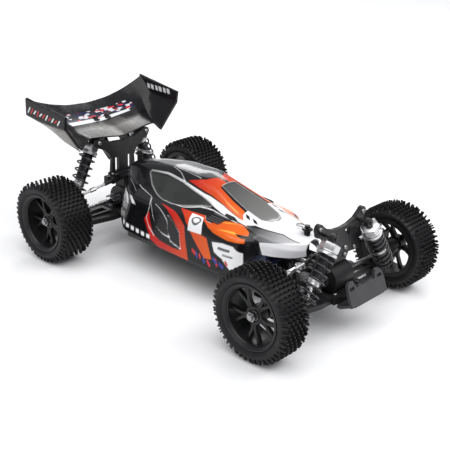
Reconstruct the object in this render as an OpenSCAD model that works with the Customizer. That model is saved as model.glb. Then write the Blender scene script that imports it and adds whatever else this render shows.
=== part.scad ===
// Four-wheel-drive off-road buggy, one tenth scale, in millimetres.
// +X is forward, +Y is the buggy's left, +Z is up. The origin is on the ground,
// below the middle of the whole buggy's length and width.

/* [Stance] */
// Distance between the front and rear axles
wheelbase = 278; // [270:1:290]
// Lateral place of each front wheel's middle
front_half_track = 101; // [101:0.5:104]
// Lateral place of each rear wheel's middle
rear_half_track = 100; // [100:0.5:103]
// Height of the chassis plate's underside
ride_height = 26; // [25.5:0.1:26.5]

/* [Wheels] */
// Radius over the tyre's tread
tyre_r = 42.5; // [42:0.1:43]
// Width of a front tyre
front_tyre_w = 34; // [32:0.5:34]
// Width of a rear tyre
rear_tyre_w = 40; // [38:0.5:40]
// Radius of the rim where the tyre's bead sits
bead_r = 28.1; // [28:0.1:28.4]
// Spokes in each rim, each forked in two at its outer end
spoke_count = 5; // [4:1:6]

/* [Wing] */
// How far the wing reaches behind the rear axle
wing_overhang = 67; // [65:0.5:69]
// Half width of the wing over its side plates
wing_half_w = 80; // [76:0.5:82]
// Height of the wing's upper rear corners
wing_top = 152.4; // [148:0.2:155]

/* [Drive train] */
// Teeth of the spur gear on the centre shaft
spur_teeth = 38; // [38:1:38]
// Teeth of the motor pinion
pinion_teeth = 14; // [14:1:14]
// Tooth size, pitch diameter over tooth count
gear_module = 0.8; // [0.8:0.05:0.8]

/* [Hidden] */
$fn = 48;
overall_l = tyre_r + wheelbase + wing_overhang;
front_x = overall_l / 2 - tyre_r;
rear_x = front_x - wheelbase;
axle_z = tyre_r;
plate_t = 2.5;
floor_z = ride_height + plate_t;
fit = 0.06;          // radial clearance of a running fit

// suspension pins, shared by all four corners
pin_r = 1.5;
arm_in_y = 21;
arm_out_y = 76;
arm_in_z = 31;
arm_out_z = 30;
king_y = 82;         // the front wheels steer about this upright line
steer_arm = 18;
link_y = 27;         // inner ball of each tie rod
link_z = 54.5;
tie_x = front_x - steer_arm;
crank_arm = 16;
crank_x = tie_x - crank_arm;
crank_y = -15;

// camber links, inner and outer pivots
fl_x = front_x - 5.25;
f_camber_in = [26, 66];
f_camber_out = [81, 60];
rl_x = rear_x + 3;
r_camber_in = [24, 66];
r_camber_out = [79, 59];
open_eye = 1.45;     // clearance in the eye of the open pivots

// shocks, top and bottom pivots and the fore-and-aft plane each lies in
f_shock_x = front_x + 15.6;
f_shock_top = [26, 92];
f_shock_bot = [64, 37];
r_shock_x = rear_x - 21;
r_shock_top = [30, 107.5];
r_shock_bot = [62, 37];

// drive train
spur_r = spur_teeth * gear_module / 2;
pinion_r = pinion_teeth * gear_module / 2;
mesh_play = 0.12;
centres = spur_r + pinion_r + mesh_play;
shaft_r = 2;
case_r = 13.8;
diff_r = 11.5;
ball_r = 2.6;
cup_r = 6.4;
cup_bore = 4.7;
slot_w = 5.8;
drive_ball_in = 21;
motor_r = 17.75;
motor_lift = 5;
motor_y = -sqrt(centres * centres - motor_lift * motor_lift);
motor_z = axle_z + motor_lift;
gear_x = rear_x + 37;
gear_w = 5;

// body shell: [x, roof z, roof y, roof edge z, belt y, belt z, pod y, pod z, skirt y, skirt z]
shell_t = 1.4;
STATIONS = [
    [-108, 88, 11, 86, 15, 74, 20, 66, 24, 52],
    [-92, 92, 13, 90, 23, 74, 33, 68, 42, 44],
    [-72, 97, 13.5, 94.5, 31, 74, 44, 69, 56, 36],
    [-42, 102, 14.5, 99.5, 36, 74, 47, 70, 57.5, 34],
    [-5, 102.5, 18, 98.5, 37, 74, 48, 70, 57.5, 33],
    [18, 97.5, 16, 94.5, 36, 75, 48, 69, 57.5, 32.5],
    [40, 90, 19, 87, 35, 75, 48, 68, 57.5, 32],
    [60, 83.5, 20, 81, 32, 74, 48, 67, 57, 32],
    [76, 77.5, 20, 76, 30, 71, 45, 65, 51, 34],
    [86, 76.5, 19, 75, 29, 70, 31, 62, 31, 52],
    [102, 75, 15, 73.5, 26, 68, 28, 62, 27, 53],
    [118, 73.5, 9, 72, 18, 68, 21, 62, 19, 54],
    [127, 70.5, 3, 70, 8, 67, 10, 62, 9, 56],
];

// ---------- helpers ----------

// The left side as drawn, or the right side as its mirror image.
module side(s) {
    if (s > 0) children();
    else mirror([0, 1, 0]) children();
}

// Turns a shape made along Z so that it runs along +Y.
module along_y() rotate([-90, 0, 0]) children();

// Turns a shape made along Z so that it runs along +X.
module along_x() rotate([0, 90, 0]) children();

// A bar along X, centred on x, through a point of the YZ plane.
module pin_x(x, p, r, l) translate([x - l / 2, p[0], p[1]]) along_x() cylinder(r = r, h = l);

// A thing drawn along +Z from the origin, laid from point a to point b of a YZ plane.
module span(x, a, b) translate([x, a[0], a[1]])
    rotate([-atan2(b[0] - a[0], b[1] - a[1]), 0, 0]) children();

function dist(a, b) = norm([b[0] - a[0], b[1] - a[1]]);

// ---------- wheels, drawn along Z with the outer face up ----------

module tyre(w, y, x) {
    h = w / 2;
    color("#1c1c1e") translate([x, y, axle_z]) along_y() rotate_extrude($fn = 72) polygon([
        [bead_r + 0.1, -h + 3], [30.1, -h + 3], [31.8, -h + 0.8], [36, -h], [40, -h + 2.2],
        [tyre_r, -h + 6], [tyre_r, h - 6], [40, h - 2.2], [36, h], [31.8, h - 0.8],
        [30.1, h - 3], [bead_r + 0.1, h - 3],
        [bead_r + 0.1, h - 6], [33, h - 3.6], [37.5, h - 4.5], [39.5, h - 8],
        [39.5, -h + 8], [37.5, -h + 4.5], [33, -h + 3.6], [bead_r + 0.1, -h + 6]]);
}

module rim(w, y, x) {
    h = w / 2 - 2;
    color("#18181a") translate([x, y, axle_z]) along_y() {
        rotate_extrude($fn = 72) polygon([
            [25.2, -h], [29.8, -h], [29.8, -h + 0.8], [bead_r, -h + 0.8], [bead_r, h - 0.8],
            [29.8, h - 0.8], [29.8, h], [26.4, h], [25.6, h - 3], [25.2, h - 4]]);
        difference() {
            union() {
                translate([0, 0, -1]) cylinder(r = 8.5, h = 9);
                translate([0, 0, 4]) linear_extrude(4) for (k = [0:spoke_count - 1])
                    rotate(90 + k * 360 / spoke_count) {
                        translate([6, -2.6]) square([10, 5.2]);
                        for (t = [-1, 1]) translate([14, t * 1.2]) rotate(t * 24)
                            translate([-2, -1.5]) square([13.6, 3]);
                    }
            }
            translate([0, 0, -2]) cylinder(r = 7, h = 5.5, $fn = 6);
            translate([0, 0, -3]) cylinder(r = 2.55, h = 20);
        }
    }
}

// Stub axle with its drive cup, hex, cross pin and nut.
module axle(y, x, cup_y) {
    cup_l = 13;
    color("silver") translate([x, 0, axle_z]) {
        translate([0, cup_y, 0]) along_y() difference() {
            cylinder(r = cup_r, h = cup_l);
            translate([0, 0, -1]) cylinder(r = cup_bore, h = cup_l - 1);
            translate([-cup_r - 1, -slot_w / 2, -1]) cube([2 * cup_r + 2, slot_w, cup_l - 1]);
        }
        translate([0, cup_y + cup_l - 0.01, 0]) along_y() cylinder(r = 2.5, h = y + 14 - cup_y - cup_l);
        translate([0, y - 1.4, 0]) along_y() difference() {
            cylinder(r = 6.8, h = 4.6, $fn = 6);
            translate([0, 0, -1]) cylinder(r = 2.5, h = 8);
        }
        translate([0, y + 8.1, 0]) along_y() difference() {
            cylinder(r = 4.6, h = 4, $fn = 6);
            translate([0, 0, -1]) cylinder(r = 2.5, h = 8);
        }
    }
}

// ---------- suspension ----------

// A lower arm on the left side; x0 is its axle line and shock_dx its shock's place.
module lower_arm(x0, shock_x, shock_bot) {
    color("#202022") difference() {
        union() {
            translate([x0, 0, arm_out_z - 2.5]) linear_extrude(5) difference() {
                polygon([[-16.5, arm_in_y + 1], [16.5, arm_in_y + 1], [16.5, arm_in_y + 14],
                    [10.5, arm_out_y - 10], [10.5, arm_out_y], [-10.5, arm_out_y],
                    [-10.5, arm_out_y - 10], [-16.5, arm_in_y + 14]]);
                translate([-6.6, arm_out_y - 8]) square([13.2, 20]);
                polygon([[-10, arm_in_y + 8], [-1.5, arm_in_y + 8], [-1.5, arm_out_y - 14],
                    [-6, arm_out_y - 14], [-10, arm_in_y + 18]]);
                polygon([[10, arm_in_y + 8], [1.5, arm_in_y + 8], [1.5, arm_out_y - 14],
                    [6, arm_out_y - 14], [10, arm_in_y + 18]]);
            }
            pin_x(x0, [arm_in_y, arm_in_z], 3.5, 33);
            for (t = [-1, 1]) pin_x(x0 + t * 8.55, [arm_out_y, arm_out_z], 3.5, 3.9);
            // the lug that carries the shock's lower pin
            translate([shock_x > x0 ? x0 + 8 : shock_x + 2.7, shock_bot[0] - 4, arm_out_z - 2.5])
                cube([abs(shock_x - x0) - 10.7, 8, shock_bot[1] - arm_out_z + 5]);
        }
        pin_x(x0, [arm_in_y, arm_in_z], pin_r + fit, 60);
    }
    color("silver") pin_x(x0, [arm_out_y, arm_out_z], pin_r, 21);
    color("silver") pin_x(shock_x, shock_bot, pin_r, 7);
}

// Front castor hub: a C around the steering knuckle.
module c_hub() {
    x0 = front_x;
    color("#202022") difference() {
        union() {
            pin_x(x0, [arm_out_y, arm_out_z], 3.4, 12);
            translate([x0 - 6, arm_out_y - 6, arm_out_z]) cube([12, 4.5, 25]);
            translate([x0 - 9, arm_out_y - 6, axle_z - 8]) cube([18, 4.5, 16]);
            translate([x0 - 6, arm_out_y - 2, arm_out_z]) cube([12, 11, 2.9]);
            translate([x0 - 6, arm_out_y - 6, axle_z + 9.6]) cube([12, 15, 3]);
            translate([x0 - 1, arm_out_y - 4, axle_z + 12]) cube([4, 12, 9]);
        }
        pin_x(x0, [arm_out_y, arm_out_z], pin_r + fit, 60);
        translate([x0, arm_out_y - 10, axle_z]) along_y() cylinder(r = 7.2, h = 12);
    }
    color("silver") pin_x(fl_x + 1.75, f_camber_out, pin_r, 7);
    color("silver") for (z = [axle_z - 12.4, axle_z + 9.2])
        translate([x0, king_y, z]) cylinder(r = 1.2, h = 3.2);
}

module knuckle() {
    x0 = front_x;
    color("#202022") difference() {
        union() {
            translate([x0, king_y - 4, axle_z]) along_y() cylinder(r = 9, h = 12);
            translate([x0, king_y + 7.5, axle_z]) along_y() cylinder(r = 7.6, h = 7.5);
            translate([x0 - steer_arm - 3, king_y - 3, axle_z + 2.5]) cube([steer_arm - 4, 6, 3.5]);
        }
        translate([x0, king_y - 5, axle_z]) along_y() cylinder(r = 7, h = 13.4);
        translate([x0, king_y, axle_z]) along_y() cylinder(r = 2.5 + fit, h = 30);
    }
    color("silver") translate([tie_x, king_y, axle_z + 6]) cylinder(r = 1.1, h = link_z - axle_z - 7);
    color("silver") translate([tie_x, king_y, link_z - 1]) sphere(r = 2.4);
}

module hub_carrier() {
    x0 = rear_x;
    color("#202022") difference() {
        union() {
            pin_x(x0, [arm_out_y, arm_out_z], 3.4, 12);
            translate([x0 - 6, arm_out_y, arm_out_z + 0.5]) cube([12, 12, 4.5]);
            translate([x0, arm_out_y + 6, axle_z]) along_y() cylinder(r = 8.6, h = 10);
            translate([x0 - 6, arm_out_y + 4, axle_z + 7.5]) cube([5.5, 5, r_camber_out[1] - axle_z - 4.5]);
            translate([x0 - 6, arm_out_y, r_camber_out[1] - 3]) cube([5.5, 9, 6]);
        }
        pin_x(x0, [arm_out_y, arm_out_z], pin_r + fit, 60);
        translate([x0, arm_out_y, axle_z]) along_y() cylinder(r = 7, h = 10);
        translate([x0, arm_out_y, axle_z]) along_y() cylinder(r = 2.5 + fit, h = 30);
    }
    color("silver") pin_x(rl_x - 0.5, r_camber_out, pin_r, 7);
}

// A turnbuckle from inner pivot a to outer pivot b, in the plane at x.
module camber_link(x, a, b) {
    l = dist(a, b);
    color("silver") span(x, a, b) {
        difference() {
            union() {
                cylinder(r = 1.6, h = l);
                translate([0, 0, l / 2 - 4]) cylinder(r = 2.6, h = 8, $fn = 6);
                translate([0, 0, 3]) cylinder(r = 2.3, h = 8);
                translate([0, 0, l - 11]) cylinder(r = 2.3, h = 7);
                translate([-2, 0, 0]) along_x() cylinder(r = 3.8, h = 4);
                translate([-2, 0, l]) along_x() cylinder(r = 4.4, h = 4);
            }
            translate([-5, 0, 0]) along_x() cylinder(r = pin_r + fit, h = 10);
            translate([-5, 0, l]) along_x() cylinder(r = pin_r + open_eye, h = 10);
        }
    }
}

// A steering rod; its eyes turn on upright ball studs.
module tie_rod() {
    a = [link_y, link_z];
    b = [king_y, link_z - 1];
    l = dist(a, b);
    color("silver") span(tie_x, a, b) difference() {
        union() {
            translate([0, 0, 2]) cylinder(r = 1.5, h = l - 4);
            translate([0, 0, l / 2 - 4]) cylinder(r = 2.5, h = 8, $fn = 6);
            translate([0, -1.8, 0]) along_y() cylinder(r = 4, h = 3.6);
            translate([0, -1.8, l]) along_y() cylinder(r = 4.4, h = 3.6);
        }
        translate([0, -5, 0]) along_y() cylinder(r = 2.56, h = 10);
        translate([0, -5, l]) along_y() cylinder(r = 3.4, h = 10);
    }
}

// A dogbone between the drive cups, with a cross pin in each ball.
module drive_shaft(x, outer_y) {
    color("silver") {
        translate([x, drive_ball_in, axle_z]) along_y() cylinder(r = 1.8, h = outer_y - drive_ball_in);
        for (y = [drive_ball_in, outer_y]) {
            translate([x, y, axle_z]) sphere(r = ball_r);
            pin_x(x, [y, axle_z], 0.9, 10.6);
        }
    }
}

// ---------- shocks, drawn along Z from the upper pivot down ----------

function body_end(l) = l * 0.68;

module shock_body(x, a, b) {
    l = dist(a, b);
    e = body_end(l);
    color("#3a3a3e") span(x, a, b) difference() {
        union() {
            translate([-3, 0, 0]) along_x() cylinder(r = 4.2, h = 6);
            translate([0, 0, 1]) cylinder(r = 3.4, h = 4);
            translate([0, 0, 3.8]) cylinder(r = 9, h = 8.2, $fn = 6);
            translate([0, 0, 11.9]) cylinder(r = 5.8, h = e - 11.9);
            translate([0, 0, 12.8]) cylinder(r = 9.5, h = 3);
        }
        translate([-8, 0, 0]) along_x() cylinder(r = pin_r + fit, h = 16);
        translate([0, 0, 13]) cylinder(r = 4.6, h = e - 17);
        translate([0, 0, 14]) cylinder(r = 1.5 + fit, h = l);
    }
}

// The coil's envelope as a ribbed sleeve; each rib is one turn.
module shock_spring(x, a, b) {
    l = dist(a, b);
    turns = 7;
    z0 = 16;
    pitch = (l - 10.4 - z0) / turns;
    color("#101012") span(x, a, b) rotate_extrude() polygon(concat(
        [[7.2, z0]],
        [for (k = [0:turns * 4]) [9 - 0.9 * cos(k * 90), z0 + k * pitch / 4]],
        [[7.2, z0 + turns * pitch]]));
}

module shock_shaft(x, a, b) {
    l = dist(a, b);
    p = body_end(l) * 0.52;
    color("silver") span(x, a, b) difference() {
        union() {
            translate([0, 0, p]) cylinder(r = 1.5, h = l - p - 3);
            translate([0, 0, p]) cylinder(r = 4.52, h = 2.5);
            translate([0, 0, l - 10]) cylinder(r = 9.2, h = 2.2);
            translate([0, 0, l - 8]) cylinder(r = 2.4, h = 5);
            translate([-2.5, 0, l]) along_x() cylinder(r = 4.2, h = 5);
        }
        translate([-5, 0, l]) along_x() cylinder(r = pin_r + 0.65, h = 10);
    }
}

// ---------- frame ----------

module chassis() {
    color("#161618") {
        difference() {
            translate([0, 0, ride_height]) linear_extrude(plate_t) {
                half = [[front_x + 22, 0], [front_x + 22, 16.8], [front_x - 26, 16.8],
                    [front_x - 48, 30], [84, 35], [68, 49], [-72, 49],
                    [rear_x + 30, 20], [rear_x + 24, 16.8], [rear_x - 24, 16.8], [rear_x - 24, 0]];
                polygon(half);
                mirror([0, 1]) polygon(half);
            }
            translate([gear_x - 1.5, -12, ride_height - 1]) cube([gear_w + 3, 24, plate_t + 2]);
        }
        // side guards, leaning outwards
        for (s = [1, -1]) side(s) translate([-71, 0, 0]) along_x() linear_extrude(129)
            polygon([[-ride_height - 0.6, 47], [-ride_height - 0.1, 49], [-36, 52.2], [-36, 50.4]]);
        // post of the servo saver
        translate([crank_x, crank_y, floor_z - 0.5]) cylinder(r = 2.5, h = 23);
    }
}

// One axle's case: a drum around the differential, with lugs for the arm pins.
module gear_case(x0, towards) {
    color("#2b2b2e") {
        difference() {
            union() {
                translate([x0, -13.6, axle_z]) along_y() cylinder(r = case_r, h = 27.2);
                translate([x0, 0, axle_z]) rotate([0, 90 * towards, 0]) cylinder(r = 6.5, h = 23);
                translate([x0 - 21, -16, floor_z + 0.1]) cube([42, 32, 3]);
                for (s = [1, -1]) for (t = [-1, 1]) side(s)
                    translate([x0 + t * 19.1 - 1.9, 13, floor_z + 0.1]) cube([3.8, 11.5, 6]);
            }
            translate([x0, -10.6, axle_z]) along_y() cylinder(r = case_r - 1.6, h = 21.2);
            translate([x0, -20, axle_z]) along_y() cylinder(r = 4 + fit, h = 40);
            translate([x0, 0, axle_z]) rotate([0, 90 * towards, 0]) cylinder(r = 5.2, h = 20);
            translate([x0, 0, axle_z]) rotate([0, 90 * towards, 0]) cylinder(r = shaft_r + fit, h = 40);
        }
        for (s = [1, -1]) side(s) pin_x(x0, [arm_in_y, arm_in_z], pin_r, 42);
    }
}

// A body post from z0 up to its shoulder, with a thinner free end above the shell.
module post(x, z0, shoulder_z) {
    translate([x, 0, z0]) cylinder(r = 3, h = shoulder_z - z0);
    translate([x, 0, shoulder_z - 1]) cylinder(r = 2.5, h = 7);
}

module gear_cases() {
    gear_case(front_x, -1);
    gear_case(rear_x, 1);
    color("#2b2b2e") {
        // seat of the front tower, and the bridge that carries the front body post
        difference() {
            union() {
                translate([front_x - 9, -12, axle_z + 8]) cube([10.1, 24, 15.5]);
                translate([crank_x - 3, -8, axle_z + 10]) cube([35, 16, 2.2]);
                post(front_x - 32, axle_z + 11, 76);
            }
            translate([front_x, -20, axle_z]) along_y() cylinder(r = case_r - 0.5, h = 40);
        }
        // seat of the rear tower, camber link bar and rear body post
        difference() {
            union() {
                translate([rear_x - 6.6, -12, axle_z + 8]) cube([14, 24, 18]);
                translate([rear_x - 6.6, -28, axle_z + 19.5]) cube([6.4, 56, 7.5]);
                translate([rear_x + 5, -6, axle_z + 22]) cube([17.5, 12, 4]);
                post(rear_x + 19.75, axle_z + 23, 93);
            }
            translate([rear_x, -20, axle_z]) along_y() cylinder(r = case_r - 0.5, h = 40);
        }
        for (s = [1, -1]) side(s) pin_x(rl_x - 0.5, r_camber_in, pin_r, 7);
    }
}

module front_shock_tower() {
    x = front_x + 1.25;
    color("#1a1a1c") translate([x, 0, 0]) rotate([90, 0, 90]) linear_extrude(4) difference() {
        for (s = [1, -1]) mirror([s > 0 ? 0 : 1, 0]) {
            polygon([[-0.1, 58], [11, 58], [14, 64], [31, 62], [31, 72], [24, 77], [22.5, 84], [27, 88],
                [34, 91], [35.8, 97], [28, 101], [20, 95], [10, 92], [-0.1, 91]]);
            translate([31.5, 98.4]) circle(r = 4.6);
        }
        for (s = [1, -1]) polygon([[s * 6, 87.5], [s * 15, 89], [s * 13, 80]]);
    }
    for (s = [1, -1]) side(s) color("silver") {
        pin_x((x + 4 + f_shock_x + 4) / 2, f_shock_top, pin_r, f_shock_x - x);
        pin_x((x + fl_x - 3) / 2 + 0.5, f_camber_in, pin_r, x - fl_x + 4);
    }
}

module rear_shock_tower() {
    x = rear_x - 10.75;
    color("#1a1a1c") translate([x, 0, 0]) rotate([90, 0, 90]) linear_extrude(4) difference() {
        for (s = [1, -1]) mirror([s > 0 ? 0 : 1, 0])
            polygon([[-0.1, 57], [14, 57], [17, 66], [15.5, 84], [20, 92], [27, 98], [35, 101.5],
                [38, 106], [36.5, 110.4], [31, 111.2], [26, 108.5], [16, 104.8], [-0.1, 103.5]]);
        for (s = [1, -1]) translate([s * 9 - 2.5, 71]) square([5, 15]);
    }
    for (s = [1, -1]) side(s) color("silver")
        pin_x((x + r_shock_x - 4) / 2 + 0.5, r_shock_top, pin_r, x - r_shock_x + 5);
}

module front_bumper() {
    color("#232326") {
        // the leaning face with two ears and an oblong hole in each
        translate([front_x + 39.5, 0, 33]) rotate([0, -24, 0]) rotate([90, 0, 90]) linear_extrude(3)
            difference() {
                polygon([[-26.5, 0], [-26.8, 13], [-25, 20], [-21.5, 23], [-17, 22.5], [-13.5, 15],
                    [13.5, 15], [17, 22.5], [21.5, 23], [25, 20], [26.8, 13], [26.5, 0]]);
                for (s = [1, -1]) translate([s * 20.4, 16]) {
                    square([4, 3.2], center = true);
                    for (t = [-2, 2]) translate([t, 0]) circle(r = 1.6);
                }
            }
        // the skid plate that folds back under the nose
        rotate([90, 0, 0]) linear_extrude(44, center = true)
            polygon([[front_x + 22.3, ride_height + 2.4], [front_x + 22.3, ride_height],
                [front_x + 26, ride_height], [front_x + 42, 33.2], [front_x + 40.5, 35.5],
                [front_x + 26, 29]]);
    }
}

// ---------- drive train ----------

// Spur gear outline with straight-flanked teeth, turned by a.
module gear(teeth, h, a) {
    r = teeth * gear_module / 2;
    out = r + gear_module;
    root = r - 1.25 * gear_module;
    tip_a = 360 / teeth * 0.12;
    mid_a = 360 / teeth * 0.235;
    root_a = 360 / teeth * 0.34;
    rotate(a) linear_extrude(h) polygon([for (k = [0:teeth - 1])
        for (q = [[root, -root_a], [r, -mid_a], [out, -tip_a], [out, tip_a], [r, mid_a], [root, root_a]])
            let (t = k * 360 / teeth + q[1]) [q[0] * cos(t), q[0] * sin(t)]]);
}

mesh_a = atan2(motor_lift, -motor_y);   // direction from the centre shaft to the motor

module centre_shaft() {
    color("silver") {
        translate([rear_x + 13, 0, axle_z]) along_x() cylinder(r = shaft_r, h = wheelbase - 26);
        translate([rear_x + 12.6, 0, axle_z]) along_x() cylinder(r = 4.4, h = 5);
        translate([front_x - 17.6, 0, axle_z]) along_x() cylinder(r = 4.4, h = 5);
    }
    color("#222") translate([gear_x, 0, axle_z]) along_x() {
        gear(spur_teeth, gear_w, 0);
        translate([0, 0, -3]) cylinder(r = 5, h = gear_w + 6);
    }
}

module motor_pinion() {
    // a tooth of the spur and a gap of the pinion meet on the line between the centres
    spur_a = 90 - mesh_a;
    near = round(spur_a / (360 / spur_teeth)) * 360 / spur_teeth;
    phase = (spur_a - near) * spur_teeth / pinion_teeth;
    color("#b08d3c") translate([gear_x, motor_y, motor_z]) along_x()
        gear(pinion_teeth, gear_w, spur_a + 180 + phase + 180 / pinion_teeth);
    color("silver") translate([gear_x - 1, motor_y, motor_z]) along_x() cylinder(r = 1.6, h = 18);
}

module motor() {
    x0 = gear_x + gear_w + 4;
    color("#2f3136") {
        difference() {
            union() {
                translate([x0, motor_y, motor_z]) along_x() cylinder(r = motor_r, h = 50);
                translate([x0 + 50, motor_y, motor_z]) along_x() cylinder(r = 5, h = 3);
            }
            translate([x0 - 1, motor_y, motor_z]) along_x() cylinder(r = 1.6 + fit, h = 20);
        }
        translate([x0 - 3.2, -40, floor_z + 0.1]) difference() {
            cube([3, 35, 28]);
            translate([-1, 40 + motor_y, motor_z - floor_z]) along_x() cylinder(r = 6, h = 6);
        }
    }
}

module diff(x0) {
    color("silver") translate([x0, 0, axle_z]) {
        translate([0, -10, 0]) along_y() cylinder(r = diff_r, h = 20);
        translate([0, -14.5, 0]) along_y() cylinder(r = 4, h = 29);
        for (s = [1, -1]) side(s) translate([0, 14.2, 0]) along_y() difference() {
            cylinder(r = cup_r, h = 12.8);
            translate([0, 0, 1.5]) cylinder(r = cup_bore, h = 20);
            translate([-cup_r - 1, -slot_w / 2, 1.5]) cube([2 * cup_r + 2, slot_w, 20]);
        }
    }
}

// ---------- steering and electrics ----------

module servo_saver() {
    color("#2a2a2d") difference() {
        union() {
            translate([crank_x, crank_y, floor_z + 12]) cylinder(r = 5, h = 8.6);
            translate([crank_x, crank_y - 3.5, 46]) cube([crank_arm, 7, 3]);
            translate([tie_x, crank_y, 46]) cylinder(r = 3.5, h = 3);
        }
        translate([crank_x, crank_y, 0]) cylinder(r = 2.5 + fit, h = 80);
    }
    color("silver") translate([tie_x, crank_y, 48.5]) cylinder(r = 1.4, h = 3.4);
}

module drag_link() {
    color("#c9cbd0") {
        difference() {
            translate([tie_x - 3, -link_y - 2.5, 49.6]) cube([6, 2 * link_y + 5, 2]);
            translate([tie_x, crank_y, 40]) cylinder(r = 2.55, h = 20);
        }
        for (s = [1, -1]) side(s) translate([tie_x, link_y, 0]) {
            translate([0, 0, 51]) cylinder(r = 1.2, h = 3);
            translate([0, 0, link_z]) sphere(r = 2.5);
        }
    }
}

// Battery on the left, speed controller, receiver and steering servo on the right.
module electronics() {
    color("#27408b") for (y = [15.5, 36.5]) for (k = [0:2])
        translate([-66 + k * 43.5, y, floor_z + 11]) along_x() cylinder(r = 10.3, h = 42.5);
    color("#2d2d30") {
        translate([-22, -42, floor_z + 0.2]) cube([38, 32, 14]);
        for (k = [0:6]) translate([-19 + k * 5, -39, floor_z + 14]) cube([2, 26, 6]);
        translate([22, -40, floor_z + 0.2]) cube([26, 26, 12]);
    }
    color("#1b1b1e") {
        translate([54, -27, floor_z + 0.2]) cube([40, 20, 24]);
        translate([50, -27, floor_z + 14]) cube([48, 20, 2.5]);
        translate([84, -17, floor_z + 24]) cylinder(r = 4, h = 3);
    }
}

// ---------- body shell and wing ----------

// One closed ring of the shell: up the right outside, over, down, and back inside.
function ring(s) = let (
    out = [for (k = [4:-1:1]) [-s[2 * k], s[2 * k + 1]]],
    top = [[-s[2] * 0.5, s[1] - (s[1] - s[3]) * 0.25], [0, s[1]], [s[2] * 0.5, s[1] - (s[1] - s[3]) * 0.25]],
    outer = concat(out, top, [for (p = [for (k = [1:4]) [s[2 * k], s[2 * k + 1]]]) p]),
    inner = [for (p = outer) [p[0] - sign(p[0]) * min(shell_t, abs(p[0]) / 2),
        p[1] - (abs(p[0]) > s[8] - 0.01 ? 0 : shell_t * 0.8)]])
    [for (p = concat(outer, [for (k = [len(inner) - 1:-1:0]) inner[k]])) [s[0], p[0], p[1]]];

// Skins a list of rings that all have n points, with both ends closed.
module skin(rings) {
    n = len(rings[0]);
    m = len(rings);
    polyhedron(
        points = [for (r = rings) for (p = r) p],
        faces = concat(
            [for (i = [0:m - 2]) for (j = [0:n - 1]) let (a = i * n + j, b = i * n + (j + 1) % n)
                each [[a, b, b + n], [a, b + n, a + n]]],
            [[for (j = [n - 1:-1:0]) j]],
            [[for (j = [0:n - 1]) (m - 1) * n + j]]));
}

module body_shell() {
    color("#e8e8ea") difference() {
        skin([for (s = STATIONS) ring(s)]);
        translate([front_x - 32, 0, 60]) cylinder(r = 3.6, h = 30);
        translate([rear_x + 19.75, 0, 80]) cylinder(r = 3.6, h = 30);
    }
}

wing_t = 1.6;
// [x, middle z, floor edge y and z, low corner y and z, side y, side low z, side top z]
WING = [
    [rear_x - 8, 107, 46, 113, 56, 102, wing_half_w - 2, 131, 144],
    [rear_x - 30, 112, 48, 115.5, 59, 109, wing_half_w - 1.5, 131, 147],
    [rear_x - 50, 121, 50, 122.5, 62, 120, wing_half_w - 1, 132, 149.7],
    [rear_x - wing_overhang, 133, 52, 134, 65, 134.5, wing_half_w, 136, wing_top],
];
function wing_ring(w) = let (
    half = [[0, w[1]], [w[2] * 0.6, w[1] * 0.3 + w[3] * 0.7], [w[2], w[3]], [w[4], w[5]],
        [w[6], w[7]], [w[6], w[8]]],
    up = [[0, wing_t], [0, wing_t], [0.5, wing_t], [-0.3, wing_t * 1.5], [-wing_t, 0.8], [-wing_t, 0]],
    n = len(half) - 1,
    low = concat([for (k = [n:-1:1]) [-half[k][0], half[k][1]]], half),
    high = concat([for (k = [n:-1:1]) [-half[k][0] - up[k][0], half[k][1] + up[k][1]]],
        [for (k = [0:n]) half[k] + up[k]]))
    [for (p = concat(low, [for (k = [len(high) - 1:-1:0]) high[k]])) [w[0], p[0], p[1]]];

module wing() color("#141416") skin([for (k = [len(WING) - 1:-1:0]) wing_ring(WING[k])]);

// Two struts from the rear tower to the underside of the wing.
module wing_mount() {
    x = rear_x - 11;
    color("#19191b") {
        for (s = [1, -1]) side(s) translate([0, 17, 0]) rotate([90, 0, 0]) linear_extrude(4)
            polygon([[x, 84], [x, 99], [x - 6, 106], [x - 17, 112], [x - 38, 120.3], [x - 40, 116],
                [x - 22, 102], [x - 10, 92]]);
        translate([x - 32, -13.5, 106]) cube([3, 27, 3]);
    }
}

chassis();
body_shell();
wing();
wing_mount();
front_shock_tower();
rear_shock_tower();
gear_cases();
front_bumper();
motor();
electronics();
motor_pinion();
centre_shaft();
diff(front_x);  // front_diff
diff(rear_x);  // rear_diff
servo_saver();
drag_link();

// the four corners; a right-hand part is the mirror image of the left-hand one
CORNERS = [["fl", 1, true], ["fr", -1, true], ["rl", 1, false], ["rr", -1, false]];
for (c = CORNERS) {
    front = c[2];
    x0 = front ? front_x : rear_x;
    wheel_y = front ? front_half_track : rear_half_track;
    tyre_w = front ? front_tyre_w : rear_tyre_w;
    joint_y = front ? king_y : arm_out_y;
    shock_x = front ? f_shock_x : r_shock_x;
    shock_a = front ? f_shock_top : r_shock_top;
    shock_b = front ? f_shock_bot : r_shock_bot;
    side(c[1]) {
        tyre(tyre_w, wheel_y, x0);
        rim(tyre_w, wheel_y, x0);
        axle(wheel_y, x0, joint_y - 5);
        lower_arm(x0, shock_x, shock_b);
        shock_body(shock_x, shock_a, shock_b);
        shock_spring(shock_x, shock_a, shock_b);
        shock_shaft(shock_x, shock_a, shock_b);
        drive_shaft(x0, joint_y);
        union() {
            if (front) camber_link(fl_x, f_camber_in, f_camber_out);
            else camber_link(rl_x, r_camber_in, r_camber_out);
        }
        if (front) {
            c_hub();
            knuckle();
            tie_rod();
        } else {
            hub_carrier();
        }
    }
}
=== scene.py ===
"""The looks of a one-tenth scale off-road buggy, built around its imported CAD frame.

Sizes are in millimetres in the row frame and turned into metres as each mesh is made.
Corners are fl, fr, rl, rr; the right side is drawn as the mirror image of the left.
"""
import math
import random

import bpy
import numpy as np
from mathutils import Matrix, Vector


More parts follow.
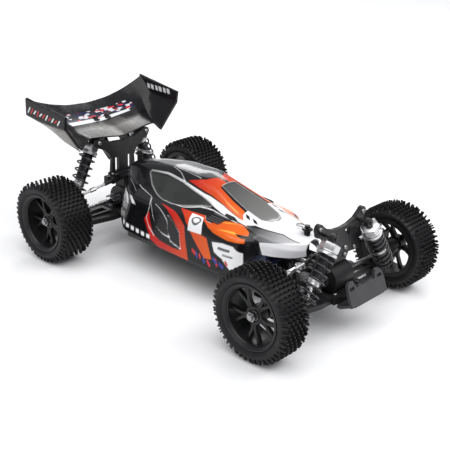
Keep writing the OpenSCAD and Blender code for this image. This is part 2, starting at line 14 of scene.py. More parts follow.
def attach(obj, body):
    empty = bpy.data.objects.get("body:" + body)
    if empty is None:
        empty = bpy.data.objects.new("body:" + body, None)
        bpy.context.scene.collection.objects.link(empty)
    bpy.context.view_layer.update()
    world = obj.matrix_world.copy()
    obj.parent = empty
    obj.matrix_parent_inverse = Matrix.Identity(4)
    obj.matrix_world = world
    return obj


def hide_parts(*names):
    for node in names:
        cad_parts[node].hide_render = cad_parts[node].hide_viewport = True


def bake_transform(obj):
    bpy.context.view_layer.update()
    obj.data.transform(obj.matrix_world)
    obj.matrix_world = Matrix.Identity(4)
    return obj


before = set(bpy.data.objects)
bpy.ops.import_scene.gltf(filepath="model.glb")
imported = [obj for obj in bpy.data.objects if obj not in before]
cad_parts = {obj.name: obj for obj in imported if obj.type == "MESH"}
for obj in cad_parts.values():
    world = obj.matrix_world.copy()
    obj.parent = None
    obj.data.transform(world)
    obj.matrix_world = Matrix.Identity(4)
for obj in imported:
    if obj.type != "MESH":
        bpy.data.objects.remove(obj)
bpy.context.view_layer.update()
rng = random.Random(7)

MM = 0.001
AXLE_Z = 42.5    # the tyres' outer radius
FRONT_X, REAR_X = 151.25, -126.75
ROOT = "chassis_assembly"
# side, and whether it is a front corner
CORNERS = {"fl": (1, True), "fr": (-1, True), "rl": (1, False), "rr": (-1, False)}
OUTER_PIN = (76, 30)    # y, z
# by front or rear: axle x, wheel middle y, tyre width
WHEEL = {True: (FRONT_X, 101, 34), False: (REAR_X, 100, 40)}
# by front or rear: x of the plane, upper pivot and lower pivot as (y, z)
SHOCK = {True: (FRONT_X + 15.6, (26, 92), (64, 37)), False: (REAR_X - 21, (30, 107.5), (62, 37))}
# by front or rear: x of the plane, inner pivot and outer pivot as (y, z)
CAMBER_LINK = {True: (FRONT_X - 5.25, (26, 66), (81, 60)), False: (REAR_X + 3, (24, 66), (79, 59))}


# ---------- mesh helpers ----------

def at(x, y, z, rx=0, ry=0, rz=0):
    """A place, with turns in degrees about X, then Y, then Z."""
    turn = Matrix.Identity(4)
    for a, axis in ((rx, "X"), (ry, "Y"), (rz, "Z")):
        turn = Matrix.Rotation(math.radians(a), 4, axis) @ turn
    return Matrix.Translation((x, y, z)) @ turn


def span(x, a, b):
    """Local +Z from point a to point b of the YZ plane at x."""
    return Matrix.Translation((x, a[0], a[1])) @ Matrix.Rotation(
        -math.atan2(b[0] - a[0], b[1] - a[1]), 4, "X")


class Shape:
    """Vertices in millimetres and faces; side -1 mirrors them to the right."""

    def __init__(self, side=1):
        self.side, self.verts, self.faces = side, [], []

    def add(self, verts, faces, m=None):
        n = len(self.verts)
        for p in verts:
            q = m @ Vector(p) if m else Vector(p)
            self.verts.append((q.x, q.y * self.side, q.z))
        for f in faces:
            f = [n + i for i in f]
            self.faces.append(f if self.side > 0 else f[::-1])
        return self

    def lathe(self, profile, m=None, n=48, closed=False):
        """Turns (r, z) points about local Z; the profile runs from low z up on the outside."""
        k = len(profile)
        verts = [(r * math.cos(a), r * math.sin(a), z)
                 for a in (2 * math.pi * j / n for j in range(n)) for r, z in profile]
        faces = []
        for j in range(n):
            j2 = (j + 1) % n
            for i in range(k if closed else k - 1):
                i2 = (i + 1) % k
                faces.append((j * k + i, j2 * k + i, j2 * k + i2, j * k + i2))
        if not closed:
            faces.append([j * k for j in range(n - 1, -1, -1)])
            faces.append([j * k + k - 1 for j in range(n)])
        return self.add(verts, faces, m)

    def prism(self, outline, z0, z1, m=None):
        n = len(outline)
        verts = [(x, y, z) for z in (z0, z1) for x, y in outline]
        faces = [[n - 1 - i for i in range(n)], [n + i for i in range(n)]]
        faces += [(i, (i + 1) % n, n + (i + 1) % n, n + i) for i in range(n)]
        return self.add(verts, faces, m)

    def box(self, lo, hi, m=None, top=1.0):
        """A box; its upper face is scaled by top."""
        cx, cy = (lo[0] + hi[0]) / 2, (lo[1] + hi[1]) / 2
        hx, hy = (hi[0] - lo[0]) / 2, (hi[1] - lo[1]) / 2
        ring = ((-1, -1), (1, -1), (1, 1), (-1, 1))
        verts = [(cx + sx * hx * t, cy + sy * hy * t, z)
                 for z, t in ((lo[2], 1), (hi[2], top)) for sx, sy in ring]
        faces = [(3, 2, 1, 0), (4, 5, 6, 7)] + [(i, (i + 1) % 4, 4 + (i + 1) % 4, 4 + i) for i in range(4)]
        return self.add(verts, faces, m)

    def tube(self, path, r, n=8, m=None):
        """A round bar along a path of points."""
        pts = [Vector(p) for p in path]
        up = Vector((0.13, 0.21, 1)).normalized()
        verts, faces = [], []
        for i, p in enumerate(pts):
            d = (pts[min(i + 1, len(pts) - 1)] - pts[max(i - 1, 0)]).normalized()
            u = (up - d * up.dot(d)).normalized()
            w = d.cross(u)
            up = u
            verts += [p + (u * math.cos(a) + w * math.sin(a)) * r
                      for a in (2 * math.pi * j / n for j in range(n))]
        for i in range(len(pts) - 1):
            faces += [(i * n + j, i * n + (j + 1) % n, (i + 1) * n + (j + 1) % n, (i + 1) * n + j)
                      for j in range(n)]
        faces += [list(range(n - 1, -1, -1)), [len(verts) - n + j for j in range(n)]]
        return self.add(verts, faces, m)

    def screw(self, m, r=2.4, h=1.8):
        """A button head with a socket, standing on local Z = 0."""
        self.lathe([(r, 0), (r, h * 0.45), (r * 0.82, h * 0.85), (r * 0.6, h), (r * 0.42, h),
                    (r * 0.4, h * 0.45), (0.01, h * 0.45)], m, 16)
        return self


def sheet_faces(rows, columns):
    """Faces of a sheet of rows by columns points."""
    return [(i * columns + j, i * columns + j + 1, (i + 1) * columns + j + 1, (i + 1) * columns + j)
            for i in range(rows - 1) for j in range(columns - 1)]


def piece(name, shape, finish, body, bevel=0.0, angle=35, replaces=()):
    """Makes a shape into an object that rides a body and takes the finish of a record slot."""
    me = bpy.data.meshes.new(name)
    me.from_pydata([tuple(c * MM for c in v) for v in shape.verts], [], shape.faces)
    me.materials.append(FINISH[finish])
    for p in me.polygons:
        p.use_smooth = True
    me.set_sharp_from_angle(angle=math.radians(angle))
    ob = bpy.data.objects.new(name, me)
    bpy.context.scene.collection.objects.link(ob)
    if bevel:
        mod = ob.modifiers.new("edge", "BEVEL")
        mod.width, mod.segments, mod.angle_limit = bevel * MM, 2, math.radians(35)
        mod.harden_normals = True
    if isinstance(body, str):
        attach(ob, body)
    if replaces:
        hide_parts(*replaces)
    return ob


# ---------- materials ----------

def nodes_of(name):
    m = bpy.data.materials.new(name)
    m.use_nodes = True
    return m, m.node_tree.nodes, m.node_tree.links, m.node_tree.nodes["Principled BSDF"]


def noise(nodes, links, scale, detail=4):
    """Fine variation in object space, scale in features per metre."""
    place = nodes.new("ShaderNodeTexCoord")
    n = nodes.new("ShaderNodeTexNoise")
    n.inputs["Scale"].default_value = scale
    n.inputs["Detail"].default_value = detail
    n.inputs["Roughness"].default_value = 0.55
    links.new(place.outputs["Object"], n.inputs["Vector"])
    return n.outputs["Fac"]


def to_range(nodes, links, value, lo, hi, a=0.3, b=0.7):
    r = nodes.new("ShaderNodeMapRange")
    for key, v in (("From Min", a), ("From Max", b), ("To Min", lo), ("To Max", hi)):
        r.inputs[key].default_value = v
    links.new(value, r.inputs["Value"])
    return r.outputs["Result"]


def blend_color(nodes, links, factor, a, b):
    """Mixes two colours, each a socket or an (r, g, b)."""
    mix = nodes.new("ShaderNodeMix")
    mix.data_type = "RGBA"
    links.new(factor, mix.inputs["Factor"])
    for socket, c in ((mix.inputs[6], a), (mix.inputs[7], b)):
        if isinstance(c, tuple):
            socket.default_value = (*c, 1)
        else:
            links.new(c, socket)
    return mix.outputs[2]


def surface_relief(nodes, links, bsdf, scale, depth, edge=0.25):
    """Grain as a bump over softly rounded edges."""
    soft = nodes.new("ShaderNodeBevel")
    soft.samples = 4
    soft.inputs["Radius"].default_value = edge * MM
    bump = nodes.new("ShaderNodeBump")
    bump.inputs["Strength"].default_value = 0.6
    bump.inputs["Distance"].default_value = depth * MM
    links.new(noise(nodes, links, scale, 3), bump.inputs["Height"])
    links.new(soft.outputs["Normal"], bump.inputs["Normal"])
    links.new(bump.outputs["Normal"], bsdf.inputs["Normal"])


def material(name, dark, light, rough, metal=0.0, grain=900, depth=0.02, coat=0.0, shine=0.5):
    m, nodes, links, bsdf = nodes_of(name)
    cloud = noise(nodes, links, 70)
    links.new(blend_color(nodes, links, to_range(nodes, links, cloud, 0, 1), dark, light),
              bsdf.inputs["Base Color"])
    links.new(to_range(nodes, links, noise(nodes, links, 260), rough[0], rough[1]),
              bsdf.inputs["Roughness"])
    bsdf.inputs["Metallic"].default_value = metal
    bsdf.inputs["Coat Weight"].default_value = coat
    bsdf.inputs["Coat Roughness"].default_value = 0.08
    bsdf.inputs["Specular IOR Level"].default_value = shine
    surface_relief(nodes, links, bsdf, grain, depth)
    return m


FINISH = {
    "tyre_rubber": material("tyre_rubber", (0.005, 0.005, 0.006), (0.011, 0.011, 0.012), (0.45, 0.6),
                            grain=1500, depth=0.03, shine=0.3),
    "rim_plastic": material("rim_plastic", (0.006, 0.006, 0.007), (0.010, 0.010, 0.011), (0.3, 0.42),
                            shine=0.35),
    "black_nylon": material("black_nylon", (0.007, 0.007, 0.008), (0.013, 0.013, 0.014), (0.33, 0.48),
                            depth=0.04, shine=0.35),
    "bumper_nylon": material("bumper_nylon", (0.034, 0.034, 0.038), (0.046, 0.046, 0.05), (0.42, 0.55),
                             depth=0.05),
    "axle_steel": material("axle_steel", (0.26, 0.26, 0.27), (0.4, 0.4, 0.4), (0.22, 0.38), 1.0),
    "gear_steel": material("gear_steel", (0.16, 0.16, 0.17), (0.26, 0.26, 0.27), (0.3, 0.45), 1.0),
    "link_aluminium": material("link_aluminium", (0.42, 0.42, 0.43), (0.6, 0.6, 0.6), (0.24, 0.4), 1.0),
    "cap_aluminium": material("cap_aluminium", (0.56, 0.56, 0.57), (0.72, 0.72, 0.72), (0.24, 0.38), 1.0,
                              grain=2500, depth=0.01),
    "shock_aluminium": material("shock_aluminium", (0.03, 0.03, 0.033), (0.06, 0.06, 0.063), (0.25, 0.4),
                                0.9),
    "spring_steel": material("spring_steel", (0.008, 0.008, 0.009), (0.014, 0.014, 0.015), (0.18, 0.3),
                             coat=0.4),
    "shaft_chrome": material("shaft_chrome", (0.7, 0.7, 0.72), (0.82, 0.82, 0.83), (0.08, 0.16), 1.0),
    "motor_can": material("motor_can", (0.03, 0.032, 0.036), (0.06, 0.06, 0.065), (0.3, 0.42), 0.8),
    "electronics_case": material("electronics_case", (0.012, 0.016, 0.05), (0.02, 0.03, 0.08), (0.35, 0.5)),
    "pinion_brass": material("pinion_brass", (0.5, 0.33, 0.1), (0.65, 0.45, 0.16), (0.2, 0.35), 1.0),
}


# ---------- painted outlines ----------

def segments_distance(pts, x, y, closed):
    """Distance from each (x, y) to a polyline."""
    best = np.full(x.shape, 1e9)
    for i in range(len(pts) if closed else len(pts) - 1):
        (ax, ay), (bx, by) = pts[i], pts[(i + 1) % len(pts)]
        dx, dy = bx - ax, by - ay
        t = np.clip(((x - ax) * dx + (y - ay) * dy) / (dx * dx + dy * dy + 1e-9), 0, 1)
        best = np.minimum(best, np.hypot(x - ax - t * dx, y - ay - t * dy))
    return best


def area(pts, x, y, soft=0.0):
    """Signed distance to an outline, positive inside; soft rounds its corners outwards."""
    hit = np.zeros(x.shape, bool)
    for i in range(len(pts)):
        (ax, ay), (bx, by) = pts[i], pts[(i + 1) % len(pts)]
        if ay != by:
            hit ^= ((ay > y) != (by > y)) & (x < (bx - ax) * (y - ay) / (by - ay) + ax)
    d = segments_distance(pts, x, y, True)
    return np.where(hit, d, -d) + soft


def stroke(pts, width, x, y):
    return width / 2 - segments_distance(pts, x, y, False)


def union(*fields):
    return np.maximum.reduce(fields)


def set_field(me, name, values):
    me.attributes.new(name, "FLOAT", "POINT").data.foreach_set("value", np.asarray(values, np.float32))


def field_factor(nodes, links, name, soft=0.3):
    """A painted area's edge: the factor of a signed distance in millimetres."""
    a = nodes.new("ShaderNodeAttribute")
    a.attribute_name = name
    return to_range(nodes, links, a.outputs["Fac"], 0, 1, -soft, soft)


def field_value(nodes, links, name, lo, hi):
    a = nodes.new("ShaderNodeAttribute")
    a.attribute_name = name
    return to_range(nodes, links, a.outputs["Fac"], 0, 1, lo, hi)


# ---------- body shell ----------

# x, roof z, roof y, roof edge z, belt y, belt z, pod y, pod z, skirt y, skirt z
STATIONS = np.array([
    (-108, 88, 11, 86, 15, 74, 20, 66, 24, 52),
    (-92, 92, 13, 90, 23, 74, 33, 68, 42, 44),
    (-72, 97, 13.5, 94.5, 31, 74, 44, 69, 56, 36),
    (-42, 102, 14.5, 99.5, 36, 74, 47, 70, 57.5, 34),
    (-5, 102.5, 18, 98.5, 37, 74, 48, 70, 57.5, 33),
    (18, 97.5, 16, 94.5, 36, 75, 48, 69, 57.5, 32.5),
    (40, 90, 19, 87, 35, 75, 48, 68, 57.5, 32),
    (60, 83.5, 20, 81, 32, 74, 48, 67, 57, 32),
    (76, 77.5, 20, 76, 30, 71, 45, 65, 51, 34),
    (86, 76.5, 19, 75, 29, 70, 31, 62, 31, 52),
    (102, 75, 15, 73.5, 26, 68, 28, 62, 27, 53),
    (118, 73.5, 9, 72, 18, 68, 21, 62, 19, 54),
    (127, 70.5, 3, 70, 8, 67, 10, 62, 9, 56),
], float)
GIRTH = 19.0    # millimetres that one step of the girth stands for in painted outlines


def shell_section(x, g):
    """(y, z) at x; g runs 0 roof middle, 1 roof edge, 2 belt, 3 pod, 4 skirt, signed by side."""
    s = [np.interp(x, STATIONS[:, 0], STATIONS[:, k]) for k in range(10)]
    y = np.interp(np.abs(g), (0, 0.5, 1, 2, 3, 4), (0, s[2] / 2, s[2], s[4], s[6], s[8]))
    z = np.interp(np.abs(g), (0, 0.5, 1, 2, 3, 4),
                  (s[1], s[1] - (s[1] - s[3]) * 0.25, s[3], s[5], s[7], s[9]))
    return np.sign(g) * y, z


def shell_grid(xs, gs, blur_x=4.0, blur_g=0.16, n=5):
    """Points of the shell with its creases rounded."""
    out = np.zeros((len(xs), len(gs), 3))
    steps = np.linspace(-1, 1, n)
    for i, x in enumerate(xs):
        reach = min(blur_x, x - STATIONS[0, 0], STATIONS[-1, 0] - x)
        for ox in steps:
            for og in steps:
                y, z = shell_section(x + ox * reach, gs + og * np.minimum(blur_g, 4 - np.abs(gs)))
                out[i, :, 1] += y / n ** 2
                out[i, :, 2] += z / n ** 2
        out[i, :, 0] = x
    return out


# painted outlines on the unrolled half shell: (x, girth)
SIDE_WINDOW = [(-69, 1.3), (-45, 1.28), (-20, 1.33), (8, 1.5), (24, 1.62), (14, 1.7), (-4, 1.9),
               (-20, 2.08), (-32, 2.05), (-45, 1.88), (-58, 1.66)]
SCREEN = [(21, -0.5), (40, -0.58), (58, -0.66), (74, -0.6), (82, -0.4), (85, 0), (82, 0.4),
          (74, 0.6), (58, 0.66), (40, 0.58), (21, 0.5)]
ROOF = [(-88, -0.1), (-80, 0.3), (-60, 0.55), (-36, 0.72), (-6, 0.74), (2, 0.6), (9, 0.2), (9, -0.1)]
HOOD = [(59, -0.1), (59, 1.45), (68, 1.72), (76, 1.25), (104, 1.1), (122, 1.7), (104, 2.2),
        (88, 2.75), (92, 4.2), (130, 4.2), (130, -0.1)]
WARM = [
    [(-14, 1.16), (-4, 1.0), (3, 0.78), (9, 0.15), (10, -0.1), (20, -0.1), (21, 0.72), (40, 0.82),
     (58, 0.88), (60, 1.16), (64, 1.5), (52, 1.42), (37, 1.3), (12, 1.27)],
    [(-31, 2.5), (-22, 2.55), (-10, 2.72), (2, 3.02), (10, 3.2), (14, 3.5), (25, 4.1), (-6, 4.1),
     (-30, 3.9), (-45, 3.45), (-40, 3.2), (-36, 3.45), (-29, 3.72), (-19, 3.82), (0, 3.86), (10, 3.84),
     (5, 3.4), (-5, 3.18), (-14, 2.98), (-22, 2.72)],
    [(-6, 2.16), (8, 2.18), (26, 2.14), (31, 2.5), (38, 2.52), (43, 2.12), (55, 1.92), (70, 1.72),
     (80, 1.9), (77, 2.6), (79, 3.02), (64, 3.08), (46, 3.02), (38, 2.9), (30, 2.6), (12, 2.55),
     (14, 2.95), (30, 3.22), (40, 3.25), (51, 3.72), (42, 3.76), (24, 3.4), (10, 3.05)],
]
# painted highlights: pale yellow streaks along the orange fender and the red band
HIGHLIGHT_STREAKS = [[(47, 2.78), (64, 2.5), (78, 2.62), (66, 2.66)], [(26, 1.02), (52, 1.16), (57, 1.3), (44, 1.18)],
          [(40, 2.3), (50, 2.1), (66, 1.86), (54, 2.12)]]
INK = [
    [(-33, 2.9), (-25, 3.05), (-15, 3.28), (-8, 3.6), (-18, 3.6), (-28, 3.5), (-34, 3.25)],
    [(-14, 3.1), (-4, 3.24), (5, 3.42), (10, 3.78), (-3, 3.7), (-10, 3.5)],
    [(44, 1.58), (54, 1.56), (60, 1.72), (52, 1.86), (44, 1.74)],
    [(60, 0.94), (65, 0.94), (69, 1.16), (64, 1.16)], [(68, 0.9), (73, 0.9), (78, 1.1), (73, 1.12)],
    [(64, 1.74), (72, 1.8), (84, 2.0), (80, 2.5), (76, 2.75), (66, 2.6), (78, 2.4), (76, 2.06)],
    [(7, -0.1), (7, 0.1), (21, 0.1), (21, -0.1)],
]
WHITE = [
    [(-70, 1.2), (-45, 1.18), (-20, 1.22), (12, 1.34), (37, 1.33), (52, 1.45), (64, 1.54), (70, 1.72),
     (58, 1.74), (44, 1.72), (28, 1.6), (8, 1.44), (-20, 1.3), (-45, 1.25)],
    [(47, 3.28), (60, 3.2), (71, 3.2), (79, 3.42), (80, 3.9), (73, 3.92), (62, 3.6), (52, 3.5)],
    [(11, 2.3), (26, 2.34), (33, 3.22), (15, 3.26)],
    [(-92, 3.06), (-86, 3.06), (-74, 3.3), (-80, 3.3)], [(-78, 2.98), (-72, 2.98), (-62, 3.2), (-68, 3.2)],
]
# painted shade: the grey wedge on the nose's side face stands for that face lying in shade
NOSE_SIDE_SHADE = [(70, 1.7), (84, 1.3), (104, 1.18), (122, 1.78), (104, 2.16), (88, 2.68), (76, 2.1)]
LINES = [    # points and width of white or silver pinstripes
    ([(-76, 1.96), (-60, 2.1), (-49, 2.24), (-44, 2.7), (-41, 3.1), (-42, 3.4), (-36, 3.6),
      (-27, 3.76)], 0.66),
    ([(-100, 2.12), (-86, 2.24), (-73, 2.48)], 0.48),
    ([(-46, 2.36), (-41, 2.9), (-34, 3.28), (-26, 3.5), (-16, 3.62), (-6, 3.64)], 0.6),
    ([(-35, 2.84), (-26, 3.0), (-14, 3.24), (-6, 3.6)], 0.6),
    ([(-14, 3.1), (5, 3.42), (11, 3.8), (-4, 3.72), (-12, 3.44)], 0.54),
    ([(-22, 2.12), (-4, 2.06), (14, 1.82), (30, 1.74), (46, 1.8), (60, 1.86)], 0.9),
    ([(-43, 0.86), (-30, 0.98), (-17, 1.24)], 0.48),
    ([(-82, 0.34), (-60, 0.62), (-36, 0.8), (-2, 0.84)], 0.48),
    ([(26, 2.14), (31, 2.5), (38, 2.54)], 0.54),
]


def livery(me, x, g):
    """Writes the painted areas as signed distances in millimetres."""
    u, v = np.abs(g), np.abs(g) * GIRTH

    def on(outline, soft=0.0):
        return area([(a, b * GIRTH) for a, b in outline], x, v, soft)

    def line(pts, width):
        return stroke([(a, b * GIRTH) for a, b in pts], width, x, v)

    set_field(me, "x_mm", x)
    set_field(me, "left_mm", g * GIRTH)
    window = union(on(SIDE_WINDOW, 0.8), on(SCREEN, 0.5))
    set_field(me, "window", window)
    set_field(me, "trim", 0.4 - np.abs(window + 0.5))
    set_field(me, "roof", on(ROOF))
    set_field(me, "hood", on(HOOD))
    set_field(me, "warm", union(*(on(o) for o in WARM)))
    set_field(me, "painted_highlight", union(*(on(o) for o in HIGHLIGHT_STREAKS)))
    set_field(me, "ink", union(*(on(o) for o in INK)))
    set_field(me, "nose_side_shade", on(NOSE_SIDE_SHADE))
    dashes = [on([(x0, 3.8), (x0 + 5, 3.8), (x0 + 6.5, 3.9), (x0 + 1.5, 3.9)]) for x0 in range(-78, -30, 8)]
    plate = np.abs(np.hypot(x - 21.5, (u - 2.76) * GIRTH) - 4.6)
    set_field(me, "white", union(*(on(o) for o in WHITE), *dashes, *(line(p, w) for p, w in LINES)))
    set_field(me, "mark", union(1.0 - plate, line([(56, 3.36), (68, 3.36)], 1.4),
                                line([(62, 3.5), (72, 3.52)], 1.0)))
    marks = []
    for k in range(9):
        x0, g0 = 26 + k * 5 + rng.uniform(-1, 1), rng.uniform(3.66, 3.8)
        marks.append(line([(x0, g0), (x0 + rng.uniform(2, 6), g0 + rng.uniform(0.06, 0.16))], 1.5))
    set_field(me, "red_marks", union(*marks[0::2]))
    set_field(me, "blue_marks", union(*marks[1::2]))
    return window


def paint_material():
    """The shell's paint: each painted area is laid over the ones before it."""
    m, nodes, links, bsdf = nodes_of("body_paint")
    along = field_value(nodes, links, "x_mm", -10, 62)
    warm = blend_color(nodes, links, along, (0.5, 0.008, 0.004), (0.76, 0.125, 0.006))
    roof = blend_color(nodes, links, field_value(nodes, links, "x_mm", -80, 6), (0.34, 0.34, 0.35),
                       (0.07, 0.07, 0.075))
    side = field_value(nodes, links, "left_mm", -4, 4)
    # painted shade on the nose's side face: dark on the right side and a warm tone on the left at the back,
    # turning grey towards the nose
    nose_side_shade_back = blend_color(nodes, links, side, (0.05, 0.05, 0.055), (0.8, 0.3, 0.14))
    nose_side_shade = blend_color(nodes, links, field_value(nodes, links, "x_mm", 78, 118), nose_side_shade_back,
                        (0.5, 0.49, 0.5))
    window = blend_color(nodes, links, noise(nodes, links, 24), (0.006, 0.006, 0.006), (0.05, 0.052, 0.05))
    forward = field_value(nodes, links, "x_mm", 10, 110)
    window = blend_color(nodes, links, forward, window, (0.26, 0.26, 0.25))
    # the pale yellow streaks are painted highlights and the grey wedge on the nose's side is painted shade
    layers = (("roof", roof), ("hood", (0.84, 0.84, 0.86)), ("warm", warm), ("painted_highlight", (0.85, 0.38, 0.05)),
              ("white", (0.84, 0.84, 0.85)), ("nose_side_shade", nose_side_shade), ("ink", (0.008, 0.008, 0.009)),
              ("mark", (0.12, 0.12, 0.13)), ("red_marks", (0.6, 0.02, 0.03)),
              ("blue_marks", (0.03, 0.05, 0.3)), ("window", window), ("trim", (0.4, 0.4, 0.4)))
    color = (0.004, 0.004, 0.005)
    for name, paint in layers:
        color = blend_color(nodes, links, field_factor(nodes, links, name), color, paint)
    dust = to_range(nodes, links, noise(nodes, links, 40), 0.0, 0.015)
    color = blend_color(nodes, links, dust, color, (0.3, 0.3, 0.3))
    links.new(color, bsdf.inputs["Base Color"])
    links.new(to_range(nodes, links, noise(nodes, links, 120), 0.16, 0.26), bsdf.inputs["Roughness"])
    bsdf.inputs["Coat Weight"].default_value = 0.3
    bsdf.inputs["Coat Roughness"].default_value = 0.06
    bsdf.inputs["Specular IOR Level"].default_value = 0.28
    surface_relief(nodes, links, bsdf, 160, 0.05)
    return m


FINISH["body_paint"] = paint_material()


def body_shell():
    """The painted shell with its windows pressed a little in."""
    xs = np.linspace(STATIONS[0, 0], STATIONS[-1, 0], 236)
    gs = np.linspace(-4, 4, 201)
    grid = shell_grid(xs, gs)
    nx, ng = len(xs), len(gs)
    faces = [(a, d, c, b) for a, b, c, d in sheet_faces(nx, ng)]
    shape = Shape().add([tuple(p) for p in grid.reshape(-1, 3)], faces)
    ob = piece("body_shell_skin", shape, "body_paint", ROOT, angle=50, replaces=("body_shell",))
    x = np.repeat(xs, ng)
    g = np.tile(gs, nx)
    window = livery(ob.data, x, g)
    # the windows lie a little below the paint
    normals = np.zeros(len(x) * 3)
    ob.data.vertices.foreach_get("normal", normals)
    normals = normals.reshape(-1, 3)
    sunk = np.clip(window / 1.2 + 0.3, 0, 1)[:, None] * 0.7 * MM
    co = np.array([v.co for v in ob.data.vertices]) - normals * sunk
    ob.data.vertices.foreach_set("co", co.ravel())
    ob.data.update()
    wall = ob.modifiers.new("wall", "SOLIDIFY")
    wall.thickness, wall.offset = 1.2 * MM, -1
    return ob


def on_shell(x, g):
    """Point of the shell's right side at x and girth g, its outward normal and the way forward."""
    grid = shell_grid([x, x + 1], np.array([-g, -g - 0.05]))
    p, px, pg = grid[0, 0], grid[1, 0] - grid[0, 0], grid[0, 1] - grid[0, 0]
    n = np.cross(px, pg)
    n = n / np.linalg.norm(n)
    if n @ np.array((0, p[1], 30)) < 0:
        n = -n
    return Vector(p), Vector(n), Vector(px).normalized()


def shell_details():
    """The louvres behind the number plates."""
    for side, tag in ((1, "left"), (-1, "right")):
        slats = Shape(side)
        for k in range(4):
            a, n, along = on_shell(29 + k * 1.2, 2.36 - k * 0.16)
            a.y = -a.y
            n.y, along.y = -n.y, -along.y
            across = n.cross(along)
            m = Matrix((along, across, n)).transposed().to_4x4()
            m.translation = a
            slats.box((0, -1.0, -0.6), (17, 1.0, 1.3), m, 0.86)
        piece(f"louvre_{tag}", slats, "bumper_nylon", ROOT, bevel=0.3)


# ---------- wing ----------

WING_FRONT, WING_REAR = -134.75, -193
WING_CHORD = WING_FRONT - WING_REAR
PLATE_RAKE = 5    # how far the side plates' front edge leans forward
# x and the half section from the middle to the side plate's top as (y, z)
WING = [
    (-134.75, [(0, 107.2), (28, 111.4), (46, 113.2), (56, 102.4), (66, 116), (77.5, 131), (78, 144)]),
    (-156.75, [(0, 113), (28, 115.2), (48, 116.4), (60, 110), (68, 120), (78, 131), (78.5, 147)]),
    (-176, [(0, 122), (28, 123.4), (50, 125.5), (65, 127), (74, 130), (78.5, 135), (79, 149.4)]),
    (-184, [(0, 127), (28, 128.4), (50, 131.5), (65, 136), (74, 140), (79, 144), (79.4, 150.6)]),
    (-193, [(0, 131.6), (28, 133.6), (50, 138.6), (65, 143.6), (74, 147), (79.2, 149.4), (79.6, 152)]),
]


def wing_point(x, t):
    """(y, z) of the wing's lower face at x; t runs 0 to 6 over the half section."""
    xs = [-w[0] for w in WING]
    ys = [np.interp(-x, xs, [w[1][k][0] for w in WING]) for k in range(7)]
    zs = [np.interp(-x, xs, [w[1][k][1] for w in WING]) for k in range(7)]
    return np.interp(t, range(7), ys), np.interp(t, range(7), zs)


def wing_material():
    """Black plastic with a smoked tongue, silver and coloured strips, plain labels and a taupe painted
    reflection of the floor on the underside.
    """
    m, nodes, links, bsdf = nodes_of("wing_plastic")
    cells = nodes.new("ShaderNodeTexVoronoi")
    cells.inputs["Scale"].default_value = 260
    ramp = nodes.new("ShaderNodeValToRGB")
    ramp.color_ramp.interpolation = "CONSTANT"
    stops = ((0, (0.006, 0.006, 0.01)), (0.42, (0.5, 0.02, 0.035)), (0.53, (0.006, 0.006, 0.01)),
             (0.6, (0.6, 0.6, 0.64)), (0.68, (0.008, 0.01, 0.05)))
    while len(ramp.color_ramp.elements) < len(stops):
        ramp.color_ramp.elements.new(0.5)
    for e, (pos, c) in zip(ramp.color_ramp.elements, stops):
        e.position, e.color = pos, (*c, 1)
    place = nodes.new("ShaderNodeTexCoord")
    stretch = nodes.new("ShaderNodeMapping")
    stretch.inputs["Scale"].default_value = (1.6, 0.7, 1)
    links.new(place.outputs["Object"], stretch.inputs["Vector"])
    links.new(stretch.outputs["Vector"], cells.inputs["Vector"])
    links.new(cells.outputs["Color"], ramp.inputs["Fac"])
    color = (0.004, 0.004, 0.005)
    # painted reflection: the white floor seen in the glossy black underside, painted as a mottled taupe
    under = blend_color(nodes, links, noise(nodes, links, 30), (0.09, 0.08, 0.072), (0.26, 0.235, 0.21))
    for name, paint in (("smoke", (0.05, 0.046, 0.042)), ("silver", (0.7, 0.72, 0.74)),
                        ("strip", ramp.outputs["Color"]), ("label", (0.8, 0.8, 0.81)),
                        ("red_label", (0.55, 0.02, 0.04)), ("under", under)):
        color = blend_color(nodes, links, field_factor(nodes, links, name), color, paint)
    links.new(color, bsdf.inputs["Base Color"])
    links.new(to_range(nodes, links, noise(nodes, links, 90), 0.2, 0.34), bsdf.inputs["Roughness"])
    bsdf.inputs["Specular IOR Level"].default_value = 0.35
    surface_relief(nodes, links, bsdf, 300, 0.03)
    return m


FINISH["wing_plastic"] = wing_material()


WING_FIELDS = ("smoke", "silver", "strip", "label", "red_label", "under")


def wing_fields(me, **fields):
    """Sets every painted area of the wing; the ones not given are bare."""
    for name in WING_FIELDS:
        set_field(me, name, fields.get(name, np.full(len(me.vertices), -5.0)))


# x, low corner y and z, side y, side's low edge z, top z
SIDE_SKIN = np.array([(-134.75, 56, 102, 78, 131, 144), (-156.75, 59.5, 109.2, 78.6, 131, 147),
                      (-176, 63, 119.5, 79.2, 131.6, 149.5), (-193, 65, 134, 79.6, 133.6, 152)])


